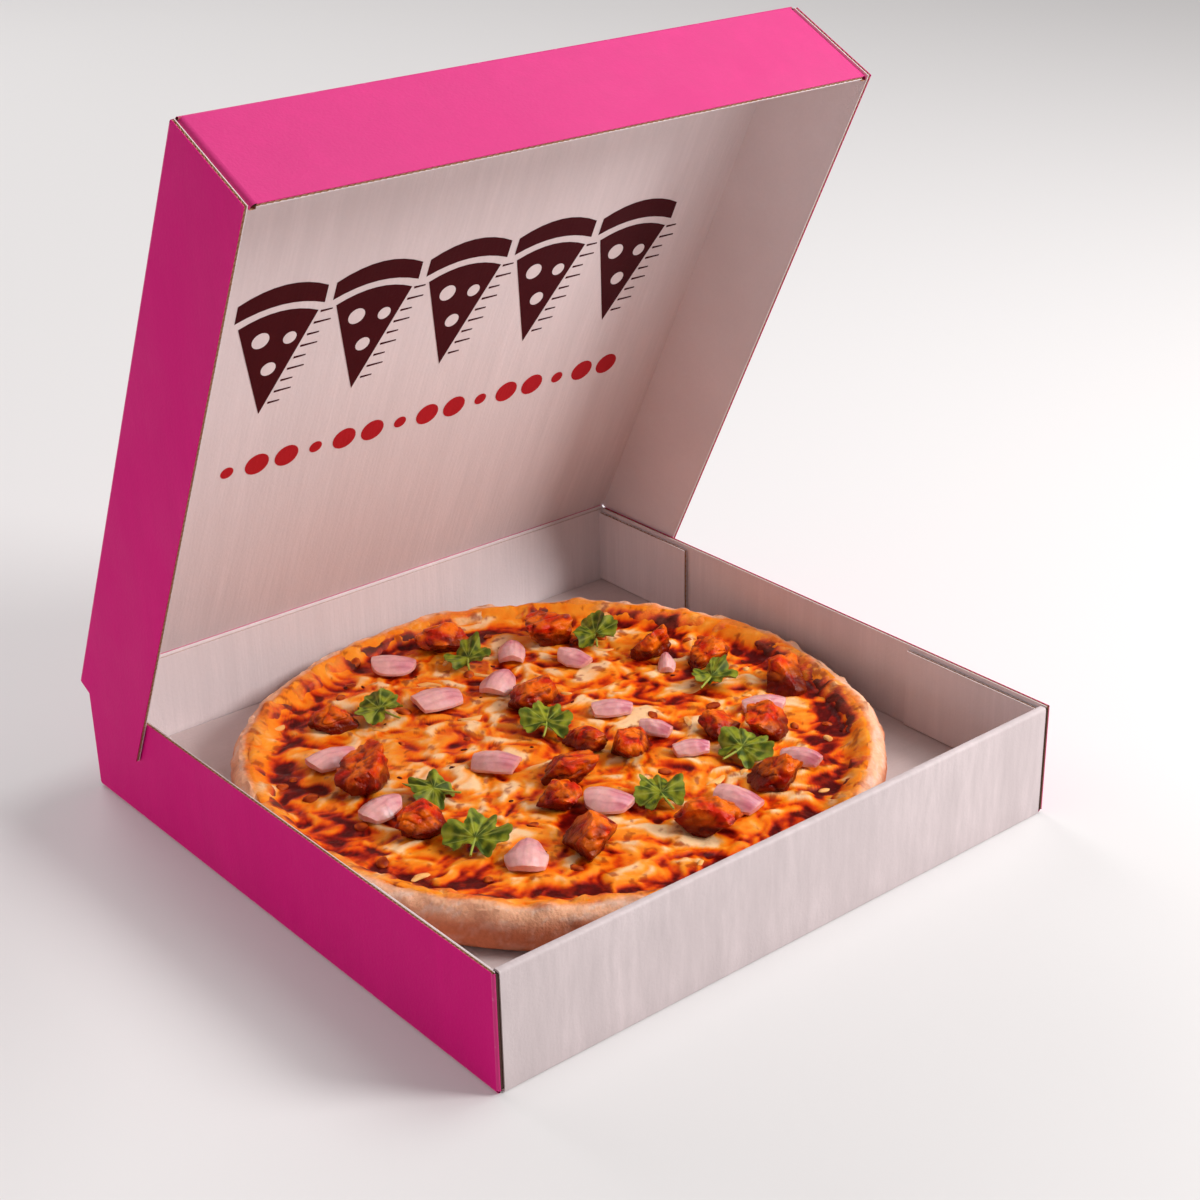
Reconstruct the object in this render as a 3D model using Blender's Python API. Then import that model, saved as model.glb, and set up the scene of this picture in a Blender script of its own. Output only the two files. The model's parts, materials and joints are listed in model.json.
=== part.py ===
"""A small topped pizza in its open corrugated box.

The box is a folded tray with a liner pad on its floor and a full-depth lid that turns on the crease
along the top of the back wall. The pizza lies on the pad, and its larger toppings are pieces of their own.
Metres, +Z up. The origin is the middle of the tray's underside, and the front wall faces -Y.
"""

import math
import random

import bmesh
import bpy
from mathutils import Vector, noise
from mathutils.geometry import delaunay_2d_cdt

# The box
BOX_WIDTH = 0.260
BOX_DEPTH = 0.260
BOX_HEIGHT = 0.0455
BOARD = 0.0015
GAP = 0.0004  # between pieces that lie against each other
FRONT_WALL = 2 * BOARD + 0.0002  # the front wall is rolled over, so it is two boards thick
FRONT_TAB = 0.066  # corner tabs, folded along the inside of the side walls
BACK_TAB = 0.058
TAB_DROP = 0.0018  # how far the tabs stop below the walls' top edge
PAD_TOP = 0.0108

# The lid, described shut: it runs forward (-Y) from the hinge and its walls hang down
LID_OPEN = math.radians(63.5)
LID_WALL = 0.043
LID_CLEARANCE = 0.0005  # beside the tray's walls
LID_TAB = 0.040
LID_LENGTH = BOX_DEPTH + 2 * LID_CLEARANCE + GAP + 2 * BOARD

# The pizza
PIZZA_RADIUS = 0.1245
PIZZA_FLOOR = PAD_TOP + GAP
RIM_WIDTH = 0.012
RIM_HEIGHT = 0.017
RIM_WAIST = 0.45  # share of the rim's height at which it is widest
RIM_UNEVEN = 0.0016
TOPPED_RADIUS = PIZZA_RADIUS - 0.0105
TOPPED_HEIGHT = 0.0128
SURFACE_STEP = 0.0052
SMALL_BITS = 90
FLAT_SHARE = 0.12  # how much of the relief is left under a large topping
SEED = 7

# Where the toppings lie on the pizza, in millimetres from its middle: x, y, size across, turn in degrees
CHUNKS = (
    (-55, 67, 16, 20), (13, 93, 20, -30), (-76, 24, 23, -35), (-78, -18, 19, 10), (12, 33, 19, 40),
    (51, 72, 21, -20), (76, 35, 19, 0), (7, -7, 15, -40), (15, -24, 18, 30), (-14, -23, 19, -25),
    (63, -46, 19, 15), (51, -35, 14, 70), (42, -72, 21, -10), (2, -80, 21, 50), (-38, -66, 21, -45),
    (-28, -39, 16, -38), (98, -22, 20, 60), (88, 14, 17, 25),
)
ONIONS = (
    (-12, 94, 17, -39), (32, 72, 15, 51), (10, 52, 15, 30), (-16, 58, 18, -10), (-75, 42, 19, 0),
    (-30, 1, 17, -60), (-81, 3, 16, 5), (-62, -58, 16, 50), (47, 49, 14, -70), (73, 22, 10, 51),
    (31, 6, 15, -35), (33, -18, 12, -60), (77, -32, 16, -39), (34, -41, 13, -30), (56, -72, 15, -65),
    (-17, -48, 17, -55), (18, -79, 17, -75),
)
LEAVES = (
    (14, 78, 20, 51), (-44, 61, 20, 95), (65, 57, 21, 60), (73, -3, 20, 20), (4, 7, 23, 51),
    (-63, -3, 21, 120), (-70, -39, 23, 40), (-1, -65, 22, 70), (40, -56, 20, 10),
)
CHUNK_HEIGHT = 0.52  # of its size across
PETAL_WIDTH = 0.72  # of its length
PETAL_THICKNESS = 0.0022
PETAL_ARCH = 0.0034
LEAF_THICKNESS = 0.0006
LEAF_WAVE = 0.0011
LEAF_SEGMENTS = 30
LEAF_LOBES = (-1.8, 0, 1.8)  # where its three lobes point, in radians from the tip


def clear_scene():
    for obj in list(bpy.data.objects):
        bpy.data.objects.remove(obj)


def material(name, colour, roughness):
    made = bpy.data.materials.new(name)
    made.use_nodes = True
    shader = made.node_tree.nodes["Principled BSDF"]
    shader.inputs["Base Color"].default_value = (*colour, 1)
    shader.inputs["Roughness"].default_value = roughness
    shader.inputs["Metallic"].default_value = 0
    return made


def add_object(name, bm, finish, smooth=False):
    bmesh.ops.recalc_face_normals(bm, faces=bm.faces)
    mesh = bpy.data.meshes.new(name)
    bm.to_mesh(mesh)
    bm.free()
    mesh.materials.append(finish)
    if smooth:
        mesh.shade_smooth()
        mesh.set_sharp_from_angle(angle=math.radians(40))
    obj = bpy.data.objects.new(name, mesh)
    bpy.context.scene.collection.objects.link(obj)
    return obj


def slab(low, high):
    """A bmesh cuboid from its lowest and highest corners."""
    bm = bmesh.new()
    bmesh.ops.create_cube(bm, size=1)
    low, high = Vector(low), Vector(high)
    for vertex in bm.verts:
        vertex.co = Vector([a + (b - a) * (c + 0.5) for a, b, c in zip(low, high, vertex.co)])
    return bm


def rolled_wall(half_length, y_outer, thickness, height, segments=6):
    """A wall along X whose top is rolled over, so that its edge is a half round."""
    radius = thickness / 2
    middle = y_outer + radius
    outline = [(y_outer, 0), (y_outer + thickness, 0)]
    for step in range(segments + 1):
        angle = math.pi * step / segments
        outline.append((middle + radius * math.cos(angle), height - radius + radius * math.sin(angle)))
    bm = bmesh.new()
    start = bm.faces.new([bm.verts.new((-half_length, y, z)) for y, z in outline])
    grown = bmesh.ops.extrude_face_region(bm, geom=[start])["geom"]
    moved = [item for item in grown if isinstance(item, bmesh.types.BMVert)]
    bmesh.ops.translate(bm, verts=moved, vec=(2 * half_length, 0, 0))
    return bm


def union(name, shapes, finish):
    """One solid from overlapping bmesh shapes."""
    helpers = bpy.data.collections.new(name + "_pieces")
    bpy.context.scene.collection.children.link(helpers)
    whole = add_object(name, shapes[0], finish)
    for number, shape in enumerate(shapes[1:]):
        piece = add_object(f"{name}_piece_{number}", shape, finish)
        bpy.context.scene.collection.objects.unlink(piece)
        helpers.objects.link(piece)
    joined = whole.modifiers.new("union", "BOOLEAN")
    joined.operation = "UNION"
    joined.operand_type = "COLLECTION"
    joined.collection = helpers
    bpy.context.view_layer.objects.active = whole
    bpy.ops.object.modifier_apply(modifier=joined.name)
    for piece in list(helpers.objects):
        bpy.data.objects.remove(piece)
    bpy.data.collections.remove(helpers)
    return whole


def make_tray(finish):
    half_width, half_depth = BOX_WIDTH / 2, BOX_DEPTH / 2
    top = BOX_HEIGHT
    shapes = [
        slab((-half_width, -half_depth, 0), (half_width, half_depth, BOARD)),
        slab((-half_width, half_depth - BOARD, 0), (half_width, half_depth, top)),
        rolled_wall(half_width - BOARD / 2, -half_depth, FRONT_WALL, top),
    ]
    front, back = -half_depth + FRONT_WALL / 2, half_depth - BOARD / 2
    tab_low, tab_high = PAD_TOP + GAP, top - TAB_DROP
    for side in (-1, 1):
        outer, inner = side * half_width, side * (half_width - BOARD)
        shapes.append(slab((min(outer, inner), -half_depth, 0), (max(outer, inner), half_depth, top)))
        near, far = inner - side * GAP, inner - side * (GAP + BOARD)
        x_low, x_high = min(near, far), max(near, far)
        shapes.append(slab((x_low, front, tab_low), (x_high, front + FRONT_TAB, tab_high)))
        shapes.append(slab((x_low, back - BACK_TAB, tab_low), (x_high, back, tab_high)))
    return union("box_base", shapes, finish)


def make_pad(finish):
    side = BOX_WIDTH / 2 - BOARD - GAP
    front = -BOX_DEPTH / 2 + FRONT_WALL + GAP
    back = BOX_DEPTH / 2 - BOARD - GAP
    return add_object("floor_pad", slab((-side, front, BOARD + GAP), (side, back, PAD_TOP)), finish)


def make_lid(finish):
    """The lid, made shut about its hinge and then turned open by the empty that it hangs on."""
    inner_side = BOX_WIDTH / 2 + LID_CLEARANCE
    outer_side = inner_side + BOARD
    low, top = -LID_WALL, GAP + BOARD
    front, back = -LID_LENGTH, -GAP
    shapes = [
        slab((-outer_side, front, GAP), (outer_side, back, top)),
        slab((-outer_side, front, low), (outer_side, front + BOARD, top)),
    ]
    tab_back = front + 2 * BOARD + GAP
    for side in (-1, 1):
        x_low, x_high = sorted((side * inner_side, side * outer_side))
        shapes.append(slab((x_low, front, low), (x_high, back, top)))
        tab_low, tab_high = sorted((side * (inner_side - LID_TAB), side * (inner_side + BOARD / 2)))
        shapes.append(
            slab((tab_low, tab_back - BOARD, low + TAB_DROP), (tab_high, tab_back, GAP + BOARD / 2))
        )
    lid = union("box_lid", shapes, finish)
    hinge = bpy.data.objects.new("lid_hinge", None)
    bpy.context.scene.collection.objects.link(hinge)
    hinge.location = (0, BOX_DEPTH / 2, BOX_HEIGHT)
    hinge.rotation_euler = (-LID_OPEN, 0, 0)
    lid.parent = hinge
    return lid


def wander(turn, scale, seed):
    """A smooth value from about -1 to 1 that closes on itself round the pizza."""
    return noise.noise(Vector((scale * math.cos(turn), scale * math.sin(turn), seed)))


def spread_apart(spots, rounds=80):
    """Moves toppings that would touch away from each other in equal shares, and keeps them off the rim."""
    for _ in range(rounds):
        for index, first in enumerate(spots):
            for second in spots[index + 1 :]:
                between = second["at"] - first["at"]
                short = first["radius"] + second["radius"] + 2 * GAP - between.length
                if short > 0:
                    push = between.normalized() * short / 2
                    first["at"] -= push
                    second["at"] += push
            furthest = TOPPED_RADIUS - 0.004 - first["radius"]
            if first["at"].length > furthest:
                first["at"] = first["at"].normalized() * furthest
    return spots


def topping_spots():
    """Every large topping as a spot: its kind, number, middle, radius and turn."""
    spots = []
    for kind, places, reach in (("chunk", CHUNKS, 0.51), ("onion", ONIONS, 0.52), ("leaf", LEAVES, 0.52)):
        for number, (x, y, across, turn) in enumerate(places, 1):
            size = across / 1000
            spot = {"kind": kind, "number": number, "at": Vector((x / 1000, y / 1000)), "size": size}
            spots.append(spot | {"radius": size * reach, "turn": math.radians(turn)})
    return spread_apart(spots)


def small_bits(draw):
    """Scraps of topping fused to the cheese: place, radius and height."""
    bits = []
    while len(bits) < SMALL_BITS:
        turn, reach = draw.uniform(0, math.tau), TOPPED_RADIUS * math.sqrt(draw.uniform(0.01, 0.93))
        place = Vector((reach * math.cos(turn), reach * math.sin(turn)))
        bits.append((place, draw.uniform(0.0045, 0.0075), draw.uniform(0.0012, 0.0030)))
    return bits


def relief(place, bits, spots):
    """Height of the cheese and sauce above their mean level, nearly flat under and round the large toppings."""
    point = Vector((place.x, place.y, 0))
    height = 0.0013 * noise.noise(point / 0.013) + 0.0008 * noise.noise(point / 0.006 + Vector((9, 4, 2)))
    height += max((tall * max(0, 1 - (place - at).length / wide) for at, wide, tall in bits), default=0)
    clear = min((place - spot["at"]).length - spot["radius"] for spot in spots) - SURFACE_STEP
    return height * (FLAT_SHARE + (1 - FLAT_SHARE) * min(1, max(0, clear / SURFACE_STEP)))


def ring_points(draw):
    """Flat points over the topped area, about one step apart, with the last ring a true circle."""
    points = [Vector((0, 0))]
    rings = round(TOPPED_RADIUS / SURFACE_STEP)
    for ring in range(1, rings + 1):
        radius = TOPPED_RADIUS * ring / rings
        count = round(math.tau * radius / SURFACE_STEP)
        shift = draw.uniform(0, math.tau)
        loose = 0 if ring == rings else 0.18 * SURFACE_STEP
        for step in range(count):
            turn = shift + math.tau * step / count
            bent = radius + draw.uniform(-loose, loose)
            points.append(Vector((bent * math.cos(turn), bent * math.sin(turn))))
    return points


def make_pizza(finish, spots):
    """The crust with its cheese and sauce: a relief over the topped area, closed by rings round the rim."""
    draw = random.Random(SEED)
    bits = small_bits(draw)
    flat, _, triangles, *_ = delaunay_2d_cdt(ring_points(draw), [], [], 0, 1e-7)
    bm = bmesh.new()
    level = PIZZA_FLOOR + TOPPED_HEIGHT
    verts = [bm.verts.new((p.x, p.y, level + relief(p, bits, spots))) for p in flat]
    for corners in triangles:
        bm.faces.new([verts[corner] for corner in corners])
    edge = [v for v in verts if Vector((v.co.x, v.co.y)).length > TOPPED_RADIUS - 1e-6]
    edge.sort(key=lambda v: math.atan2(v.co.y, v.co.x))
    middle = PIZZA_RADIUS - RIM_WIDTH / 2
    waist = RIM_WAIST * RIM_HEIGHT
    ring = edge
    for degrees in (142, 108, 74, 40, 6, -28, -62, -90):
        angle = math.radians(degrees)
        grown = []
        for vertex in edge:
            turn = math.atan2(vertex.co.y, vertex.co.x)
            uneven = RIM_UNEVEN * wander(turn, 2.3, 1.5) + 0.4 * RIM_UNEVEN * wander(turn, 9, 5.5)
            reach = middle + RIM_WIDTH / 2 * math.cos(angle) + uneven
            tall = (RIM_HEIGHT - waist) * (1 + 0.16 * wander(turn, 3.1, 8.5)) if angle > 0 else waist
            height = PIZZA_FLOOR + waist + tall * math.sin(angle)
            grown.append(bm.verts.new((reach * math.cos(turn), reach * math.sin(turn), height)))
        for a, b, c, d in zip(ring, ring[1:] + ring[:1], grown[1:] + grown[:1], grown):
            bm.faces.new((a, b, c, d))
        ring = grown
    bm.faces.new(ring)
    bmesh.ops.triangulate(bm, faces=bm.faces)
    return add_object("pizza", bm, finish, smooth=True)


def resting_height(pizza, spot):
    """The height at which a flat underside over this spot is clear of the pizza."""
    near = spot["radius"] + SURFACE_STEP
    under = [v.co.z for v in pizza.data.vertices if (v.co.xy - spot["at"]).length < near]
    return max(under) + GAP


def place(obj, spot, height):
    lowest = min(v.co.z for v in obj.data.vertices)
    obj.location = (*spot["at"], height - lowest)
    obj.rotation_euler = (0, 0, spot["turn"])


def make_chunk(spot, finish, segments=10, rings=6):
    """A rough lump with rounded corners and a flat underside."""
    bm = bmesh.new()
    bmesh.ops.create_uvsphere(bm, u_segments=segments, v_segments=rings, radius=1)
    half = spot["size"] / 2
    tall = spot["size"] * CHUNK_HEIGHT
    for vertex in bm.verts:
        boxy = Vector([math.copysign(abs(c) ** 0.72, c) for c in vertex.co])
        rough = 1 + 0.16 * noise.noise(boxy * 1.4 + Vector((spot["number"] * 7.3, 2, 5)))
        up = max(boxy.z, -0.5) * 2 / 3
        vertex.co = (boxy.x * half * 0.94 * rough, boxy.y * half * 0.78 * rough, up * tall * rough)
        if boxy.z <= -0.5:
            vertex.co.z = -tall / 3
    bmesh.ops.triangulate(bm, faces=bm.faces)
    return add_object(f"chunk_{spot['number']:02d}", bm, finish, smooth=True)


def two_sided(bm, upper, lower, cells, border):
    """Closes two like grids of vertices into one thin solid, both faces split alike."""
    for a, b, c in cells:
        bm.faces.new((upper[a], upper[b], upper[c]))
        bm.faces.new((lower[c], lower[b], lower[a]))
    for a, b in zip(border, border[1:] + border[:1]):
        bm.faces.new((upper[b], upper[a], lower[a]))
        bm.faces.new((upper[b], lower[a], lower[b]))


def make_petal(spot, finish, along=5, across=4):
    """A cupped onion petal that lies on its edges."""
    bm = bmesh.new()
    half_length = spot["size"] / 2
    half_width = half_length * PETAL_WIDTH
    lean = 0.25 * noise.noise(Vector((spot["number"] * 3.7, 1, 1)))
    upper, lower = [], []
    for row in range(along + 1):
        v = 2 * row / along - 1
        for column in range(across + 1):
            u = 2 * column / across - 1
            narrow = 1 - 0.30 * v * v
            x, y = half_length * v * (1 - 0.12 * u * u), half_width * u * narrow
            height = PETAL_ARCH * (1 - 0.75 * u * u - 0.35 * v * v + lean * v)
            upper.append(bm.verts.new((x, y, height)))
            lower.append(bm.verts.new((x, y, height - PETAL_THICKNESS)))
    wide = across + 1
    cells = []
    for row in range(along):
        for column in range(across):
            corner = row * wide + column
            cells += [(corner, corner + wide, corner + 1), (corner + 1, corner + wide, corner + wide + 1)]
    right = [row * wide + across for row in range(along + 1)]
    left = [row * wide for row in range(along + 1)]
    far = list(range(along * wide, along * wide + across + 1))
    border = left[:-1] + far[:-1] + right[:0:-1] + list(range(across, 0, -1))
    two_sided(bm, upper, lower, cells, border)
    return add_object(f"onion_{spot['number']:02d}", bm, finish, smooth=True)


def leaf_reach(turn):
    """How far a leaf's edge lies from its middle, as a share of its half width: three lobes with small teeth."""
    away = [(turn - lobe + math.pi) % math.tau - math.pi for lobe in LEAF_LOBES]
    lobes = max(math.exp(-((angle / 0.60) ** 2)) for angle in away)
    return (0.42 + 0.54 * lobes) * (1 + 0.08 * math.cos(10 * turn))


def make_leaf(spot, finish):
    """A thin wavy coriander leaf."""
    bm = bmesh.new()
    half = spot["size"] / 2
    upper, lower = [], []
    for share in (0, 0.5, 1):
        for step in range(LEAF_SEGMENTS if share else 1):
            turn = math.tau * step / LEAF_SEGMENTS
            reach = half * share * (leaf_reach(turn) if share == 1 else leaf_reach(turn) ** 0.6)
            x, y = reach * math.cos(turn), reach * math.sin(turn)
            height = LEAF_WAVE * share * math.sin(2 * turn + spot["number"])
            height += 0.5 * LEAF_WAVE * share * math.cos(5 * turn)
            upper.append(bm.verts.new((x, y, height)))
            lower.append(bm.verts.new((x, y, height - LEAF_THICKNESS)))
    cells = []
    for step in range(LEAF_SEGMENTS):
        here, after = 1 + step, 1 + (step + 1) % LEAF_SEGMENTS
        cells.append((0, here, after))
        cells += [
            (here, here + LEAF_SEGMENTS, after),
            (after, here + LEAF_SEGMENTS, after + LEAF_SEGMENTS),
        ]
    border = [1 + LEAF_SEGMENTS + step for step in range(LEAF_SEGMENTS)][::-1]
    two_sided(bm, upper, lower, cells, border)
    return add_object(f"coriander_{spot['number']:02d}", bm, finish, smooth=True)


def make_toppings(pizza, spots):
    meat = material("browned_chunk", (0.42, 0.09, 0.02), 0.45)
    onion = material("raw_onion", (0.72, 0.36, 0.46), 0.35)
    green = material("coriander_green", (0.10, 0.24, 0.03), 0.55)
    makers = {"chunk": (make_chunk, meat), "onion": (make_petal, onion), "leaf": (make_leaf, green)}
    for spot in spots:
        maker, finish = makers[spot["kind"]]
        place(maker(spot, finish), spot, resting_height(pizza, spot))


def main():
    clear_scene()
    printed = material("printed_board", (0.50, 0.010, 0.12), 0.55)
    white = material("white_board", (0.78, 0.68, 0.66), 0.75)
    baked = material("cheese_and_crust", (0.80, 0.30, 0.06), 0.5)
    make_tray(printed)
    make_pad(white)
    make_lid(printed)
    spots = topping_spots()
    make_toppings(make_pizza(baked, spots), spots)


main()
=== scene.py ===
"""Looks of a small topped pizza in its open corrugated box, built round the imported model."""

import json
import math

import bmesh
import bpy
import numpy as np
from mathutils import Matrix, Vector


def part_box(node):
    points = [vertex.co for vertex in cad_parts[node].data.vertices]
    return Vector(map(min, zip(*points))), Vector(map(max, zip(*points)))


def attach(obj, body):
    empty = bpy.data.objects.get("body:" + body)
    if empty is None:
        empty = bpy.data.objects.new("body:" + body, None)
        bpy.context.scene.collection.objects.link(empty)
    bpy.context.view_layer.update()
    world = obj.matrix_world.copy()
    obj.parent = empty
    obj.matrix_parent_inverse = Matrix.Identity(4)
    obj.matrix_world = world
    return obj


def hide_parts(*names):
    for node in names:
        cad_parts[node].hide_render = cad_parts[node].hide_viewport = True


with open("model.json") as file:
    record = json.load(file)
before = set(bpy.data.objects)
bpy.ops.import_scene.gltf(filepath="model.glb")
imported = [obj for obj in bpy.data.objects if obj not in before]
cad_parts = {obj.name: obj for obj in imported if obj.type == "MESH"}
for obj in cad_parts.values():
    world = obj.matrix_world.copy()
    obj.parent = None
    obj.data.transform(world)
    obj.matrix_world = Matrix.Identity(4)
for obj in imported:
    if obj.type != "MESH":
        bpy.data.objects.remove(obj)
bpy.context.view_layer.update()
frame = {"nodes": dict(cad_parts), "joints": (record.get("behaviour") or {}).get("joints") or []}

MM = 0.001
HINGE = Vector(frame["joints"][0]["pos_m"])
LID_OPEN = math.radians(-frame["joints"][0]["range_deg"][0])
TRAY_LOW, TRAY_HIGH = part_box("box_base")
PAD_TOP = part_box("floor_pad")[1].z
PIZZA_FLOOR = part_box("pizza")[0].z
SHARP = math.radians(38)  # steeper edges than this stay crisp
CELL = 9 * MM  # the grid of flat panels, fine enough to let them bow

# Board, as in the solids
BOARD = 1.5 * MM
GAP = 0.4 * MM
LINER = 0.3 * MM  # the two papers of the board
EDGE_DEPTH = 0.3 * MM  # how far the fluted middle stands open at a cut edge
FLUTE_PITCH = 2.4 * MM
FLUTE_STEPS = 8  # points to one wave
FLUTE_HALF = 0.09 * MM  # half the middle paper's thickness
FLUTE_SWING = BOARD / 2 - LINER - 0.08 * MM
FOLD_STEPS = 6
CORNER = 1.0 * MM  # radius of the tray's front corners
FRONT_WALL = 3.2 * MM
FRONT_SLOT = 1.1 * MM  # between the front wall's ends and the side walls
ROLL_SQUARE = 0.6  # under 1, the roll along its top is squarer than a half round
SIDE_BOW = 0.15 * MM
FRONT_BOW = 0.5 * MM
LID_BOW = 1.1 * MM
FRONT_TAB = 66 * MM
BACK_TAB = 58 * MM
TAB_DROP = 1.8 * MM
LID_WALL = 43 * MM
LID_TAB = 40 * MM
LID_SIDE = TRAY_HIGH.x + 2 * MM
LID_LENGTH = 264.4 * MM
# EXTRA is painted shade in the tray's corner slots, and on the lid a lighter, glossier ink that paints a
# highlight on its front wall
PRINT, WHITE, KRAFT, EXTRA, FOLD = range(5)  # each board's finishes, in this order
ONLY = 0  # the finish of a piece that has just one

# The design inside the lid
SLICES = 5
SLICE_LEFT = -95 * MM
SLICE_PITCH = 40.5 * MM
SLICE_HALF = 16.5 * MM
SLICE_TIP = 123 * MM  # heights are up the lid from the hinge
SLICE_TOP = 168 * MM
SLICE_HOLES = ((-6, 160, 3.6), (6.5, 158, 2.8), (0, 145, 3.1))  # aside, height and radius, in millimetres
HATCHES = 9
DOTS = 15

# Pizza, as in the solids
RIM_WIDTH = 12 * MM
RIM_HEIGHT = 17 * MM
RIM_WAIST = 0.45
PIZZA_RADIUS = 124.5 * MM
TOPPED_RADIUS = 119.5 * MM
TOPPED_LEVEL = PIZZA_FLOOR + 12.8 * MM
SURFACE_CELLS = 290
CRUST_STEPS = 720
CRUST_SECTION = 44
CHUNK_COUNT = 18
CHUNK_SIDES = 10  # flat sides, before the lumps
CHUNK_CRISP = 20  # the higher, the crisper the edges between them
LEAF_LEAN = math.radians(50)  # the side to which most leaves rise
LOBES = ((-1.38, 0.92), (0.0, 1.0), (1.38, 0.92))  # where each lobe of a leaf points, and its length

# Which way each petal and leaf points, in degrees
PETAL_TURNS = (-39, 51, 30, -10, 0, -60, 5, 50, -70, 51, -35, -60, -39, -30, -65, -55, -75)
LEAF_TURNS = (51, 95, 60, 20, 51, 120, 40, 70, 10)

# The photograph's view
CAMERA_AZIMUTH = math.radians(-39.24)
CAMERA_ELEVATION = math.radians(25.15)
CAMERA_ROLL = math.radians(-1.21)
CAMERA_DISTANCE = 0.911
CAMERA_TARGET = Vector((0.0736, 0.0642, 0.0390))
FOCAL_PIXELS = 2166
IMAGE_PIXELS = 1200
SENSOR_MM = 36
LIT_PLACE = Vector((0, 0, 0.07))  # where the lights point


def srgb(red, green, blue):
    """A linear colour from the usual 0 to 255 values."""
    channels = np.array([red, green, blue]) / 255
    return np.where(channels <= 0.04045, channels / 12.92, ((channels + 0.055) / 1.055) ** 2.4)


def noise2(x, y, seed, cell=1):
    """Smooth gradient noise from about -1 to 1 at arrays of places, with cells of this size."""
    x, y = x / cell, y / cell
    rng = np.random.default_rng(seed)
    turns, order = rng.uniform(0, math.tau, 256), rng.permutation(256)
    x_cell, y_cell = np.floor(x).astype(int), np.floor(y).astype(int)
    x_in, y_in = x - x_cell, y - y_cell

    def corner(i, j):
        angle = turns[order[(order[(x_cell + i) & 255] + y_cell + j) & 255]]
        return np.cos(angle) * (x_in - i) + np.sin(angle) * (y_in - j)

    x_fade, y_fade = (t * t * t * (t * (t * 6 - 15) + 10) for t in (x_in, y_in))
    low = corner(0, 0) * (1 - x_fade) + corner(1, 0) * x_fade
    high = corner(0, 1) * (1 - x_fade) + corner(1, 1) * x_fade
    return 1.5 * (low * (1 - y_fade) + high * y_fade)


def smooth(low, high, value):
    """A soft step: 0 up to low, 1 from high on."""
    share = np.clip((value - low) / (high - low), 0, 1)
    return share * share * (3 - 2 * share)


def blend(first, second, share):
    """Colours between two, by one share or an array of them."""
    return first + (second - first) * np.asarray(share)[..., None]


def with_dryness(tint, dryness):
    """Colours with their dryness, one or many, as a fourth value."""
    dryness = np.broadcast_to(dryness, tint.shape[:-1])
    return np.concatenate([tint, dryness[..., None]], axis=-1)


def turned(x, y, angle):
    """Places turned about 0, 0."""
    cos_a, sin_a = math.cos(angle), math.sin(angle)
    return x * cos_a - y * sin_a, x * sin_a + y * cos_a


def make_object(name, data):
    obj = bpy.data.objects.new(name, data)
    bpy.context.scene.collection.objects.link(obj)
    return obj


def turn_outward(obj, weld=0):
    """Turns the faces outward, once points closer than weld are joined."""
    bm = bmesh.new()
    bm.from_mesh(obj.data)
    if weld:
        bmesh.ops.remove_doubles(bm, verts=bm.verts, dist=weld)
    bmesh.ops.recalc_face_normals(bm, faces=bm.faces)
    bm.to_mesh(obj.data)
    bm.free()


def piece(name, verts, faces, finishes, body, indices=None, tint=None):
    """A new mesh object that rides on a body."""
    mesh = bpy.data.meshes.new(name)
    mesh.from_pydata([tuple(v) for v in verts], [], [tuple(f) for f in faces])
    for finish in finishes:
        mesh.materials.append(finish)
    if indices is not None:
        mesh.polygons.foreach_set("material_index", indices)
    if tint is not None:
        colours = mesh.color_attributes.new("tint", "FLOAT_COLOR", "POINT")
        colours.data.foreach_set("color", tint.astype(np.float32).ravel())
    mesh.shade_smooth()
    mesh.set_sharp_from_angle(angle=SHARP)
    mesh.update()
    obj = make_object(name, mesh)
    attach(obj, body)
    return obj


# Materials


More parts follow.
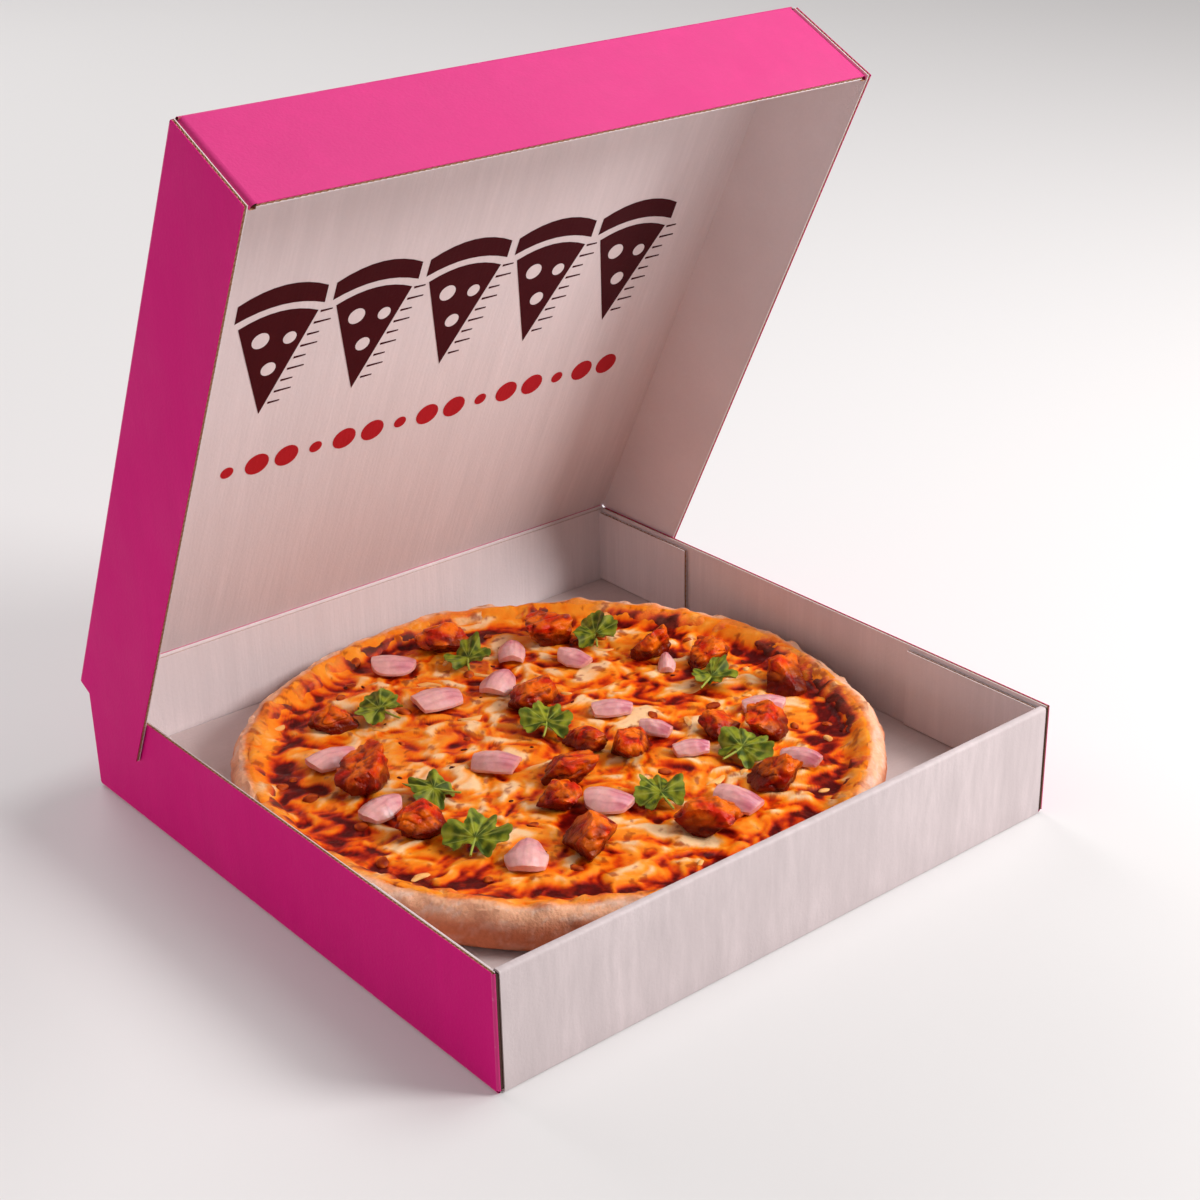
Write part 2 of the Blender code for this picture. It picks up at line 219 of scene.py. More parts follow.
class Finish:
    """A Principled material and short ways to feed it."""

    def __init__(self, name, colour=(0.8, 0.8, 0.8), roughness=0.5, **sockets):
        self.material = bpy.data.materials.new(name)
        self.material.use_nodes = True
        self.tree = self.material.node_tree
        self.shader = self.tree.nodes["Principled BSDF"]
        self.shader.inputs["Base Color"].default_value = (*colour, 1)
        self.shader.inputs["Roughness"].default_value = roughness
        for socket, value in sockets.items():
            self.shader.inputs[socket.replace("_", " ")].default_value = value

    def plug(self, socket, value):
        """Links a value to a socket where it comes from a node, and sets it otherwise."""
        if isinstance(value, bpy.types.NodeSocket):
            self.tree.links.new(value, socket)
        else:
            socket.default_value = value

    def node(self, kind, inputs=(), **settings):
        made = self.tree.nodes.new("ShaderNode" + kind)
        for key, value in settings.items():
            setattr(made, key, value)
        for key, value in dict(inputs).items():
            self.plug(made.inputs[key], value)
        return made

    def place(self, scale):
        """Object coordinates, scaled by one number or by one for each axis."""
        where = self.node("TexCoord").outputs["Object"]
        scale = [float(part) for part in np.broadcast_to(scale, 3)]
        return self.node("Mapping", {"Vector": where, "Scale": scale}).outputs["Vector"]

    def noise(self, scale, detail=3, rough=0.55):
        """Noise from 0 to 1, with this many cells to a metre along each axis."""
        inputs = {"Vector": self.place(scale), "Scale": 1, "Detail": detail, "Roughness": rough}
        return self.node("TexNoise", inputs).outputs["Fac"]

    def remap(self, value, low, high, new_low=0.0, new_high=1.0):
        inputs = {"Value": value, "From Min": low, "From Max": high, "To Min": new_low, "To Max": new_high}
        return self.node("MapRange", inputs).outputs["Result"]

    def mix(self, share, first, second, mode="MIX"):
        made = self.node("Mix", {0: share}, data_type="RGBA", blend_type=mode)
        for number, value in ((6, first), (7, second)):  # the two inputs that take colours
            self.plug(made.inputs[number], value if isinstance(value, bpy.types.NodeSocket) else (*value, 1))
        return made.outputs[2]

    def feed(self, socket, source):
        self.tree.links.new(source, self.shader.inputs[socket])

    def bump(self, height, distance, strength=1.0, after=None):
        inputs = {"Height": height, "Distance": distance, "Strength": strength}
        if after is not None:
            inputs["Normal"] = after
        return self.node("Bump", inputs).outputs["Normal"]


def board_finish(name, colour, streaks, roughness, depth, gloss=0.5):
    """Paper board: clouds, fibre streaks in cells to a metre, bands, and specks. depth is their contrast."""
    made = Finish(name, colour, roughness, Specular_IOR_Level=gloss)
    clouds = made.remap(made.noise(22, 4), 0.35, 0.65)
    fibres = made.remap(made.noise(streaks, 3), 0.3, 0.7)
    specks = made.remap(made.noise(900, 2), 0.3, 0.75)
    bands = made.remap(made.noise(np.array(streaks) / 4.5, 2), 0.36, 0.64, 0, 0.55)
    tone = made.mix(fibres, colour * (1 - depth), np.minimum(colour * (1 + 0.7 * depth), 1))
    tone = made.mix(bands, tone, colour * (1 - 2.2 * depth))
    tone = made.mix(made.remap(clouds, 0, 1, 0, 0.45), tone, colour * (1 - 1.2 * depth))
    tone = made.mix(made.remap(specks, 0, 1, 0, 0.12), tone, colour * 0.75)
    made.feed("Base Color", tone)
    made.feed("Roughness", made.remap(clouds, 0, 1, roughness - 0.05, roughness + 0.08))
    made.feed("Normal", made.bump(specks, 0.00008, 0.5, made.bump(fibres, 0.00010, 0.35)))
    return made.material


def fold_finish(name, colour, worn, roughness):
    """A printed fold, where the ink is rubbed thin in places."""
    made = Finish(name, colour, roughness)
    rubbed = made.remap(made.noise(260, 5, 0.7), 0.56, 0.72, 0, 0.55)
    made.feed("Base Color", made.mix(rubbed, colour, worn))
    made.feed("Normal", made.bump(made.noise(700, 3), 0.0001, 0.4))
    return made.material


def kraft_finish(name, dark, light):
    """Two browns mixed by fine noise: the brown middle of the board, where it is cut, and, in darker browns,
    the painted shade of the tray's corner slots.
    """
    made = Finish(name, light, 0.85)
    made.feed("Base Color", made.mix(made.noise(1400, 3), dark, light))
    return made.material


def tinted_finish(name, wet, dry, bump, fine=700, speckle=0.3, **sockets):
    """Food whose colour is held in its points, with fine grain. Alpha says how dry it is."""
    made = Finish(name, **sockets)
    held = made.node("Attribute", attribute_name="tint")
    grain = made.remap(made.noise(fine, 4, 0.6), 0.25, 0.75)
    dark = made.remap(grain, 0, 1, 0, speckle)
    made.feed("Base Color", made.mix(dark, held.outputs["Color"], (0.35, 0.30, 0.28), "MULTIPLY"))
    made.feed("Roughness", made.remap(held.outputs["Alpha"], 0, 1, wet, dry))
    small = made.bump(grain, bump)
    coarse = made.noise(fine / 4, 3, 0.6)
    made.feed("Normal", made.bump(coarse, bump * 2.5, 0.7, small))
    return made.material


# Corrugated board


def spaced(start, end, count):
    """Even steps from start to end."""
    return [start + (end - start) * k / count for k in range(count + 1)]


def point_on(axis, along, first, second):
    """A point, from its place along one axis and along the two that follow it."""
    point = Vector()
    point[axis], point[(axis + 1) % 3], point[(axis + 2) % 3] = along, first, second
    return point


class Shape:
    """Points and faces of one mesh, gathered bit by bit, with a finish for each face."""

    def __init__(self):
        self.verts, self.faces, self.finishes = [], [], []

    def patch(self, rows, finish, flip=False):
        """A grid of points, given as rows, as one surface."""
        start, wide = len(self.verts), len(rows[0])
        for row in rows:
            self.verts.extend(row)
        for i in range(len(rows) - 1):
            for j in range(wide - 1):
                a = start + i * wide + j
                corners = (a, a + 1, a + wide + 1, a + wide)
                self.faces.append(corners[::-1] if flip else corners)
                self.finishes.append(finish)

    def box(self, low, high, finish=KRAFT):
        """A cuboid."""
        steps = [max(1, math.ceil((b - a) / CELL)) for a, b in zip(low, high)]
        for axis in range(3):
            first, second = (axis + 1) % 3, (axis + 2) % 3
            firsts = spaced(low[first], high[first], steps[first])
            seconds = spaced(low[second], high[second], steps[second])
            for level, flip in ((low[axis], False), (high[axis], True)):
                self.patch([[point_on(axis, level, a, b) for b in seconds] for a in firsts], finish, flip)

    def ribbon(self, start, end, across, inward):
        """The wavy middle paper along a cut edge, from liner to liner."""
        half = FLUTE_HALF
        count = max(FLUTE_STEPS, round((end - start).length / FLUTE_PITCH * FLUTE_STEPS))
        rows = [[], [], [], [], []]
        for step in range(count + 1):
            middle = start.lerp(end, step / count)
            middle += across * FLUTE_SWING * math.sin(math.tau * step / FLUTE_STEPS)
            corners = (-half, 0), (half, 0), (half, 1), (-half, 1), (-half, 0)
            for row, (aside, deep) in zip(rows, corners):
                row.append(middle + across * aside + inward * EDGE_DEPTH * deep)
        self.patch(rows, KRAFT)

    def wall(self, low, high, out, outside=PRINT, inside=WHITE, cut=()):
        """One flat panel of board. out names its outer side, and cut the sides where its edge is open."""
        axis = "xyz".index(out[1])
        low, high = Vector(low), Vector(high)
        middle_low, middle_high = low.copy(), high.copy()
        middle_low[axis] += LINER
        middle_high[axis] -= LINER
        sheet_low, sheet_high = low.copy(), high.copy()
        sheet_low[axis], sheet_high[axis] = middle_high[axis], middle_low[axis]
        outer, inner = (low, sheet_high), (sheet_low, high)
        if out[0] == "+":
            outer, inner = inner, outer
        self.box(*outer, outside)
        self.box(*inner, inside)
        for side in cut:
            edge = "xyz".index(side[1])
            start, end, across, inward = low.copy(), high.copy(), Vector(), Vector()
            if side[0] == "+":
                middle_high[edge] -= EDGE_DEPTH
                inward[edge] = -1
                start[edge] = high[edge]
            else:
                middle_low[edge] += EDGE_DEPTH
                inward[edge] = 1
                end[edge] = low[edge]
            start[axis] = end[axis] = (low[axis] + high[axis]) / 2
            start[3 - axis - edge] += LINER
            end[3 - axis - edge] -= LINER
            across[axis] = 1
            self.ribbon(start, end, across, inward)
        self.box(middle_low, middle_high)

    def fold(self, axis, start, end, centre, towards, radius=BOARD, finish=FOLD):
        """A quarter round along one axis, where board is folded. towards gives the two outward signs."""
        places = spaced(start, end, max(1, math.ceil(abs(end - start) / CELL)))
        rows = []
        for angle in spaced(0, math.pi / 2, FOLD_STEPS):
            first = centre[0] + towards[0] * radius * math.cos(angle)
            second = centre[1] + towards[1] * radius * math.sin(angle)
            rows.append([point_on(axis, along, first, second) for along in places])
        spine = [point_on(axis, along, *centre) for along in places]
        flip = towards[0] * towards[1] > 0
        self.patch(rows, finish, flip)
        self.patch([spine, rows[0]], KRAFT, flip)
        self.patch([rows[-1], spine], KRAFT, flip)

    def finish(self, name, finishes, body, slot, bend=None, place=None):
        """The gathered mesh as a piece, its points bent a little and then put in place."""
        verts = [bend(v) if bend else v for v in self.verts]
        verts = [place @ v if place else v for v in verts]
        made = piece(name, verts, self.faces, finishes, body, self.finishes)
        turn_outward(made, weld=0.01 * MM)
        made.data.set_sharp_from_angle(angle=SHARP)
        return made


def tray_bend(point):
    """Walls of folded board bow a little between their corners."""
    share = point.z / TRAY_HIGH.z
    across = math.cos(math.pi * point.x / (2 * TRAY_HIGH.x))
    along = math.cos(math.pi * point.y / (2 * TRAY_HIGH.y))
    x_bow = math.copysign(SIDE_BOW, point.x) * along * share * (abs(point.x) > 0.12)
    y_bow = -FRONT_BOW * across * share * (point.y < -0.12)
    return point + Vector((x_bow, y_bow, 0))


def make_tray(finishes):
    """The folded tray, all but its front wall."""
    side, front, back, top = TRAY_HIGH.x, TRAY_LOW.y, TRAY_HIGH.y, TRAY_HIGH.z
    inner, back_top = side - BOARD, top - 0.3 * MM
    shape = Shape()
    shape.wall((-inner, front + BOARD, 0), (inner, back - BOARD, BOARD), "-z")
    shape.wall((-side, front + CORNER, BOARD), (-inner, back - BOARD, top), "-x", cut=("+z",))
    shape.wall((inner, front + CORNER, BOARD), (side, back - BOARD, top), "+x", cut=("+z",))
    shape.wall((-inner, back - BOARD, BOARD), (inner, back, back_top), "+y")
    for sign in (-1, 1):
        shape.fold(1, front + CORNER, back - BOARD, (BOARD, sign * inner), (-1, sign))
        shape.fold(2, BOARD, back_top, (sign * inner, back - BOARD), (sign, 1))
        shape.fold(2, BOARD, top, (sign * (side - CORNER), front + CORNER), (sign, -1), radius=CORNER)
        add_slot(shape, sign)
        add_tray_tabs(shape, sign)
    shape.fold(0, -inner, inner, (back - BOARD, BOARD), (1, -1))
    tray = shape.finish("tray_board", finishes, "tray", "printed_board", tray_bend)
    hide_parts("box_base")


def add_slot(shape, sign):
    """A dark brown block in the slot at a front corner, between the side wall and the front wall: painted
    shade for the slot's depth.
    """
    x_low, x_high = sorted((sign * (TRAY_HIGH.x - CORNER), sign * (TRAY_HIGH.x - BOARD - 1.3 * MM)))
    low = (x_low, TRAY_LOW.y + 0.5 * MM, BOARD)
    high = (x_high, TRAY_LOW.y + FRONT_WALL, TRAY_HIGH.z - CORNER)
    shape.box(low, high, EXTRA)


def add_tray_tabs(shape, sign):
    """The corner tabs, folded along the inside of one side wall."""
    face = TRAY_HIGH.x - BOARD - GAP
    x_low, x_high = sorted((sign * face, sign * (face - BOARD)))
    low, high = PAD_TOP + GAP, TRAY_HIGH.z - TAB_DROP
    front, back = TRAY_LOW.y + FRONT_WALL, TRAY_HIGH.y - BOARD
    out = "+x" if sign > 0 else "-x"
    shape.wall((x_low, front, low), (x_high, front + FRONT_TAB, high), out, WHITE, cut=("+y", "+z"))
    shape.wall((x_low, back - BACK_TAB, low), (x_high, back, high), out, WHITE, cut=("-y", "+z"))


def make_front_wall(finish):
    """The white front wall, rolled over its top edge and back down inside."""
    half, count = TRAY_HIGH.x - BOARD - FRONT_SLOT, 40
    front, radius = TRAY_LOW.y, FRONT_WALL / 2
    top = TRAY_HIGH.z - radius
    foot = 1.2 * MM
    profile = [(front + 0.9 * MM, 0), (front + 0.25 * MM, 0.3 * MM), (front, foot)]
    profile += [(front, z) for z in spaced(foot, top, 5)[1:-1]]
    for step in range(11):
        angle = math.pi * (1 - step / 10)
        aside = math.copysign(abs(math.cos(angle)) ** ROLL_SQUARE, math.cos(angle))
        profile.append((front + radius + radius * aside, top + radius * math.sin(angle) ** ROLL_SQUARE))
    profile += [(front + FRONT_WALL, top * (1 - step / 4)) for step in range(1, 5)]
    rows = [[Vector((x, y, z)) for x in spaced(-half, half, count)] for y, z in profile + profile[:1]]
    shape = Shape()
    shape.patch(rows, ONLY)
    for end in (0, -1):
        start = len(shape.verts)
        shape.verts.extend(row[end] for row in rows[:-1])
        shape.faces.append(tuple(range(start, start + len(profile))))
        shape.finishes.append(ONLY)
    wall = shape.finish("front_wall", [finish], "tray", "printed_board", tray_bend)
    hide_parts("box_base")


def make_lid(finishes):
    """The lid, laid out shut about its hinge and then turned open."""
    inner, front = LID_SIDE - BOARD, -LID_LENGTH
    under, low = GAP, -LID_WALL
    tab_face = front + BOARD + 0.25 * MM
    tab_back = tab_face + BOARD
    shape = Shape()
    shape.wall((-inner, front + BOARD, under), (inner, -GAP, under + BOARD), "+z", cut=("+y",))
    slit, curve = 0.7 * MM, 2.2 * MM
    for sign in (-1, 1):
        x_low, x_high = sorted((sign * inner, sign * LID_SIDE))
        out = "+x" if sign > 0 else "-x"
        shape.wall((x_low, front + 0.3 * MM, low), (x_high, -GAP, under), out, cut=("-z", "+y", "-y"))
        shape.fold(1, front + BOARD, -GAP, (under, sign * inner), (1, sign))
        tab_low, tab_high = sorted((sign * inner, sign * (inner - LID_TAB)))
        shape.wall((tab_low, tab_face, low + TAB_DROP), (tab_high, tab_back, under), "-y", cut=("-z",))
        end = sign * (inner - slit - curve)
        shape.fold(2, low, under, (end, front + curve), (sign, -1), radius=curve, finish=EXTRA)
    half = inner - slit - curve
    # The front wall and its rounded ends take the lighter EXTRA ink, a painted highlight
    shape.wall((-half, front, low), (half, front + BOARD, under), "-y", outside=EXTRA, cut=("-z",))
    shape.fold(0, -half - 0.8 * curve, half + 0.8 * curve, (front + BOARD, under), (-1, 1))

    def lid_bend(point):
        along = math.sin(math.pi * min(1, max(0, -point.y / LID_LENGTH)))
        across = math.cos(math.pi * point.x / (2 * LID_SIDE))
        return point + Vector((0, 0, LID_BOW * along * across))

    place = Matrix.Translation(HINGE) @ Matrix.Rotation(-LID_OPEN, 4, "X")
    lid = shape.finish("lid_board", finishes, "lid", "printed_board", lid_bend, place)
    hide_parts("box_lid")
    return lid_bend, place


def make_crease(printed, white):
    """The rounded crease that the lid turns on, printed outside and white inside."""
    radius, half, around, count = 1.0 * MM, TRAY_HIGH.x - BOARD / 2, 16, 40
    line = [Vector((x, 0, 0)) for x in spaced(-half, half, count)]
    shape = Shape()
    for step in range(around):
        rows = []
        for edge in (step, step + 1):
            angle = math.tau * edge / around
            offset = Vector((0, radius * math.cos(angle), radius * math.sin(angle)))
            rows.append([HINGE + offset + along for along in line])
        outside = math.cos(math.tau * (step + 0.5) / around) > -0.2
        shape.patch(rows, PRINT if outside else WHITE)
    shape.finish("hinge_crease", [printed, white], "tray", "printed_board")


# Food

# From dark sauce, over orange fat, to creamy cheese
TOPPING_LEVELS = (0.0, 0.16, 0.33, 0.53, 0.80, 1.12)
TOPPING_TONES = np.array([
    srgb(80, 3, 2), srgb(156, 20, 3), srgb(226, 68, 4),
    srgb(250, 122, 8), srgb(254, 158, 44), srgb(255, 210, 158),
])


def pizza_fields(x, y):
    """How pale each place of the topped surface is, from dark sauce to cheese, and its height."""
    u, v = x / MM, y / MM
    a = u + 6.5 * noise2(u, v, 1, 21) + 1.8 * noise2(u, v, 21, 8)
    b = v + 6.5 * noise2(u, v, 2, 21) + 1.8 * noise2(u, v, 22, 8)

    def strands(turn, seed):
        """Streaks of melted cheese that run one way."""
        along, across = turned(a, b, -turn)
        return 0.62 * noise2(along / 14, across / 9, seed) + 0.42 * noise2(along / 7, across / 4.4, seed + 1)

    swap = smooth(-0.25, 0.25, noise2(u, v, 24, 26))
    flow = strands(0.5, 3) * (1 - swap) + strands(2.1, 53) * swap + 0.12 * noise2(a, b, 5, 2.2)
    reach = np.hypot(x, y) / TOPPED_RADIUS
    around = np.arctan2(y, x)
    wave = noise2(2.2 * np.cos(around) + 5, 2.2 * np.sin(around) + 5, 6) + 0.5 * noise2(a, b, 16, 8)
    arcs = np.exp(-(((reach - 0.880 - 0.02 * wave) / 0.042) ** 2)) * smooth(-0.8, -0.1, wave)
    ring = smooth(0.915, 0.950, reach + 0.014 * wave)
    blobs = smooth(0.22, 0.62, noise2(a / 12, b / 9, 61)) - 0.7 * smooth(0.28, 0.66, noise2(a / 9, b / 8, 62))
    pale = 0.59 + 0.10 * ring + 1.15 * flow * (1 - 0.7 * ring) + (0.40 * blobs - 0.60 * arcs) * (1 - ring)
    lumps = 0.75 * noise2(a, b, 11, 10) + 0.28 * noise2(a, b, 12, 4.5) + 0.08 * noise2(a, b, 13, 2)
    climb = 4.4 * smooth(0.900, 0.985, reach + 0.010 * wave)
    height = 1.1 * np.clip(pale, 0, 1) + lumps + climb - 0.9
    return np.clip(pale, 0, 1.2), height * MM


def pizza_tint(x, y, pale):
    """Colour and dryness of the topped surface."""
    level = pale + 0.06 * noise2(x, y, 32, 3.1 * MM) + 0.05 * noise2(x, y, 33, 1.2 * MM)
    tint = np.stack([np.interp(level, TOPPING_LEVELS, channel) for channel in TOPPING_TONES.T], axis=-1)
    scorch = noise2(x, y, 34, 6 * MM) + 0.5 * noise2(x, y, 35, 2.2 * MM)
    tint = blend(tint, srgb(150, 30, 5), 0.7 * smooth(0.30, 0.64, scorch))
    return with_dryness(tint, np.clip(0.05 + 0.55 * level, 0, 1))


def disc_grid(cells):
    """Even places over a unit disc: a square grid pressed round, row by row."""
    line = np.linspace(-1, 1, cells + 1)
    a, b = np.meshgrid(line, line, indexing="ij")
    wide = np.abs(a) > np.abs(b)
    with np.errstate(divide="ignore", invalid="ignore"):
        radius = np.where(wide, a, b)
        turn = np.where(wide, math.pi / 4 * b / a, math.pi / 2 - math.pi / 4 * a / b)
    turn = np.nan_to_num(turn)
    return radius * np.cos(turn), radius * np.sin(turn)


def grid_quads(wide, rows):
    """Faces between the points of a grid, row by row."""
    a = (np.arange(rows - 1)[:, None] * wide + np.arange(wide - 1)).ravel()
    return np.column_stack([a, a + wide, a + wide + 1, a + 1])


def grid_border(wide, rows):
    """Numbers of the points round the edge of a grid, in order."""
    count = wide * rows
    there = list(range(wide)) + list(range(2 * wide - 1, count, wide))
    return there + list(range(count - 2, count - wide - 1, -1)) + list(range(count - 2 * wide, 0, -wide))


def make_topped_surface(finish):
    """Sauce and cheese over the dough, closed underneath."""
    unit_x, unit_y = disc_grid(SURFACE_CELLS)
    x, y = unit_x.ravel() * TOPPED_RADIUS, unit_y.ravel() * TOPPED_RADIUS
    edge_dip = 5.0 * MM * smooth(0.984, 1.0, np.hypot(x, y) / TOPPED_RADIUS)
    verts = np.column_stack([x, y, TOPPED_LEVEL + pizza_fields(x, y)[1] - edge_dip])
    wide = SURFACE_CELLS + 1
    faces = grid_quads(wide, wide).tolist()
    border = [0] + grid_border(wide, wide)[:0:-1]
    low = PIZZA_FLOOR + 4 * MM
    start = len(verts)
    skirt = np.column_stack([verts[border, 0], verts[border, 1], np.full(len(border), low)])
    verts = np.vstack([verts, skirt, [[0, 0, low]]])
    hub = len(verts) - 1
    for k, point in enumerate(border):
        after = (k + 1) % len(border)
        faces.append([point, start + k, start + after, border[after]])
        faces.append([start + k, hub, start + after])
    tint = pizza_tint(verts[:, 0], verts[:, 1], pizza_fields(verts[:, 0], verts[:, 1])[0])
    made = piece("pizza_cheese", verts, faces, [finish], "tray", tint=tint)
    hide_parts("pizza")
    turn_outward(made)


def crust_relief(turn, angle):
    """How far the rim's surface stands out, in millimetres: its roughness, and its blisters."""
    arc, over = turn * PIZZA_RADIUS / MM, angle * 9
    rough = 0.45 * noise2(arc / 9, over / 7, 45) + 0.22 * noise2(arc / 3.4, over / 2.6, 46)
    rough = rough + 0.10 * noise2(arc / 1.4, over / 1.2, 47)
    return rough, 0.8 * smooth(0.25, 0.7, noise2(arc / 12, over / 6, 48))


def crust_tint(turn, angle, slow, verts):
    """Baked and floured dough, with sauce on the inner side."""
    arc, over = turn * PIZZA_RADIUS / MM, angle * 9
    up = np.sin(angle)
    rough, blisters = crust_relief(turn, angle)
    baked = smooth(-0.1, 0.6, noise2(arc / 15, over / 8, 49) + 0.4 * rough - 0.25)
    dust = noise2(arc / 10, over / 5, 50) + 0.6 * noise2(arc, over, 51, 2)
    top = smooth(0.1, 0.9, up)
    scorch = smooth(0.35, 0.62, noise2(arc / 6, over / 4, 52)) * blisters
    tint = blend(srgb(206, 118, 82), srgb(250, 190, 152), top)
    tint = blend(tint, srgb(170, 80, 50), 0.80 * baked * (1 - 0.5 * top))
    tint = blend(tint, srgb(240, 208, 190), (0.15 + 0.45 * top) * smooth(0.0, 0.5, dust))
    tint = blend(tint, srgb(96, 44, 22), scorch)
    tint = blend(tint, srgb(150, 88, 54), 0.7 * smooth(0.35, 0.95, -up))
    sauced = smooth(-0.26, 0.14, -np.cos(angle) + 0.32 * rough + 0.14 * dust + 0.18 * slow)
    sauced = sauced * smooth(-0.1, 0.3, up)
    pale = pizza_fields(0.97 * verts[..., 0], 0.97 * verts[..., 1])[0]
    sauce = pizza_tint(verts[..., 0], verts[..., 1], pale)[..., :3]
    return with_dryness(blend(tint, sauce, 0.94 * sauced), 0.95 - 0.60 * sauced)


def make_crust(finish):
    """The baked rim and underside: a ring whose section is a rounded lump, uneven all the way round."""
    turns = np.linspace(0, math.tau, CRUST_STEPS, endpoint=False)
    angles = np.linspace(0, math.tau, CRUST_SECTION, endpoint=False)
    turn, angle = np.meshgrid(turns, angles, indexing="ij")
    x, y = np.cos(turn), np.sin(turn)
    out, up = np.cos(angle), np.sin(angle)
    slow = noise2(2.3 * x + 9, 2.3 * y + 9, 41) + 0.35 * noise2(8 * x + 9, 8 * y + 9, 42)
    tall = 1 + 0.14 * noise2(3.1 * x + 4, 3.1 * y + 4, 43) + 0.10 * noise2(11 * x, 11 * y, 44)
    relief = 1 + sum(crust_relief(turn, angle)) * MM / (RIM_WIDTH / 2)
    middle = PIZZA_RADIUS - RIM_WIDTH / 2 + 1.5 * MM * slow
    reach = middle + np.where(out > 0, RIM_WIDTH / 2, RIM_WIDTH / 2 + 3 * MM) * out * relief
    waist = RIM_WAIST * RIM_HEIGHT
    rise = np.where(up > 0, (RIM_HEIGHT - waist) * tall * relief, waist)
    height = PIZZA_FLOOR + waist + rise * np.sign(up) * np.abs(up) ** 0.85
    verts = np.stack([reach * x, reach * y, height], axis=-1)
    tint = crust_tint(turn, angle, slow, verts)
    here = np.arange(turn.size).reshape(turn.shape)
    next_turn, next_angle = np.roll(here, -1, 0), np.roll(here, -1, 1)
    corners = [here, next_turn, np.roll(next_turn, -1, 1), next_angle]
    faces = np.stack(corners, axis=-1).reshape(-1, 4).tolist()
    verts, tint = verts.reshape(-1, 3), tint.reshape(-1, 4)
    made = piece("pizza_crust", verts, faces, [finish], "tray", tint=tint)
    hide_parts("pizza")
    turn_outward(made)


def sphere_points(subdivisions):
    """Points and faces of an even sphere of radius 1."""
    bm = bmesh.new()
    bmesh.ops.create_icosphere(bm, subdivisions=subdivisions, radius=1)
    verts = np.array([v.co for v in bm.verts])
    faces = [[v.index for v in f.verts] for f in bm.faces]
    bm.free()
    return verts, faces


def noise3(points, seed):
    """Rough noise in space, from three slanted slices of the flat one."""
    x, y, z = points.T
    total = noise2(x + 0.37 * z, y - 0.21 * z, seed) + noise2(y + 0.43 * x, z - 0.17 * x, seed + 1)
    return (total + noise2(z + 0.31 * y, x - 0.27 * y, seed + 2)) / 2


def chunk_shape(number, directions):
    """Points of a lumpy block with flat sides, and how lumpy, cleft and near an edge each one is."""
    rng = np.random.default_rng(100 + number)
    normals = rng.normal(size=(CHUNK_SIDES, 3))
    normals /= np.linalg.norm(normals, axis=1)[:, None]
    depths = rng.uniform(0.52, 1.0, CHUNK_SIDES)
    toward = np.maximum(directions @ normals.T, 0) / depths
    reach = np.minimum((toward**CHUNK_CRISP).sum(1) ** (-1 / CHUNK_CRISP), 1.3)
    ordered = np.sort(toward, axis=1)
    edge = smooth(0.78, 0.98, ordered[:, -2] / ordered[:, -1])
    shape = directions * reach[:, None]
    lumps = 0.55 * noise3(shape * 2.0, 200 + number) + 0.28 * noise3(shape * 4.6, 300 + number)
    lumps = lumps + 0.08 * noise3(shape * 12, 400 + number)
    cleft = smooth(0.12, 0.0, np.abs(noise3(shape * 1.1, 450 + number)))
    return shape * (1 + 0.21 * lumps - 0.07 * cleft)[:, None], lumps, cleft, edge


def chunk_tint(number, shape, lumps, cleft, edge, level):
    """Orange marinade, charred at edges and in patches, with painted light on its bulges, and painted shade
    in its clefts and dents and at its foot, where level is 0.
    """
    # Random tone, lighter on the bulges and darker in the dents: partly painted light
    tone = smooth(-0.4, 0.45, noise3(shape * 1.6, 500 + number) + 0.6 * lumps)
    seared = edge * smooth(-0.25, 0.35, noise3(shape * 1.9, 600 + number))
    patch = smooth(0.22, 0.50, noise3(shape * 2.4, 650 + number))
    char = np.maximum(0.35 * seared, 0.7 * patch)
    # Painted shade in the clefts and dents
    hollow_shade = np.maximum(0.35 * cleft, 0.7 * smooth(-0.14, -0.45, lumps))
    # Painted shade towards the foot, where the chunk meets the cheese
    foot = smooth(0.85, 0.20, level + 0.25 * noise3(shape * 2, 700 + number))
    tint = blend(srgb(218, 40, 1), srgb(255, 120, 10), tone)
    tint = blend(tint, srgb(104, 14, 2), char)
    tint = blend(tint, srgb(74, 10, 3), hollow_shade)
    tint = blend(tint, srgb(92, 8, 2), 0.9 * foot)
    return with_dryness(tint, np.clip(0.10 + 0.5 * char, 0, 1))


def make_chunk(number, sphere, finish):
    """A chunk of roast, a little larger than its solid and sunk a little into the cheese."""
    name = f"chunk_{number:02d}"
    low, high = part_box(name)
    directions, faces = sphere
    shape, lumps, cleft, edge = chunk_shape(number, directions)
    span = shape.max(0) - shape.min(0)
    centre = (shape.max(0) + shape.min(0)) / 2
    size = np.array(high - low) * (1.12, 1.12, 1.0) + (0, 0, 3.6 * MM)
    middle = np.array(low + high) / 2 - (0, 0, 1.4 * MM)
    verts = (shape - centre) / span * size + middle
    level = (verts[:, 2] - low.z) / (high.z - low.z)
    tint = chunk_tint(number, shape, lumps, cleft, edge, level)
    made = piece(name + "_roast", verts, faces, [finish], "tray", tint=tint)
    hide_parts(name)


def two_sided(upper, lower, wide, rows):
    """Points and faces of a thin solid, from two like grids of points."""
    quads, count = grid_quads(wide, rows), wide * rows
    faces = np.vstack([quads, quads[:, ::-1] + count]).tolist()
    border = grid_border(wide, rows)
    for a, b in zip(border, border[1:] + border[:1]):
        faces.append((a, b, count + b, count + a))
    return np.vstack([upper, lower]), faces


